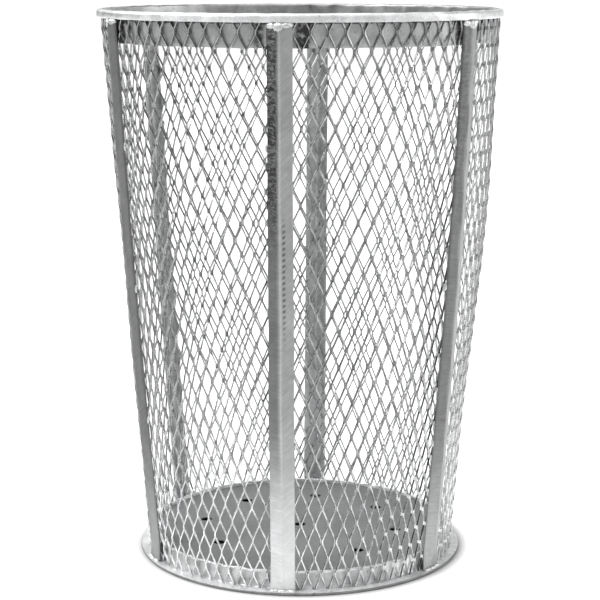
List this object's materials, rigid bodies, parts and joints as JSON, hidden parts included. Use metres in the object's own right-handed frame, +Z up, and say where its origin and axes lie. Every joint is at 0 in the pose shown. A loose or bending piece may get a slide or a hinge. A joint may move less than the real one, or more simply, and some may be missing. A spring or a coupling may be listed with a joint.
{
  "type": "litter basket",
  "caption": "Tapered open-top litter basket of galvanised expanded metal, with a rolled rim, bent-strip struts, a flanged base and a raised floor plate with drain holes.",
  "frame": {"origin": "centre of the underside of the base ring, on the ground", "axes": "+Z up along the axis of the basket, strut_1 on the -Y side, +X to the right when strut_1 faces the viewer"},
  "size_m": [0.6, 0.6058, 0.825],
  "materials": {
    "rim_zinc": "hot-dip galvanised sheet, bright with runs and small pits",
    "base_zinc": "hot-dip galvanised angle, bright on the flange",
    "floor_zinc": "dull grey galvanised plate",
    "strut_zinc": "hot-dip galvanised strip with slanting brush marks",
    "mesh_zinc": "hot-dip galvanised expanded metal",
    "weld_zinc": "galvanised weld bead"
  },
  "bodies": {
    "root": {"top_ring": "rim_zinc", "base_ring": "base_zinc", "floor_plate": "floor_zinc", "strut_1": "strut_zinc", "strut_2": "strut_zinc", "strut_3": "strut_zinc", "strut_4": "strut_zinc", "strut_5": "strut_zinc", "strut_6": "strut_zinc", "mesh_panel_1": "mesh_zinc", "mesh_panel_2": "mesh_zinc", "mesh_panel_3": "mesh_zinc", "mesh_panel_4": "mesh_zinc", "mesh_panel_5": "mesh_zinc", "mesh_panel_6": "mesh_zinc", "foot_welds": "weld_zinc"}
  },
  "joints": []
}
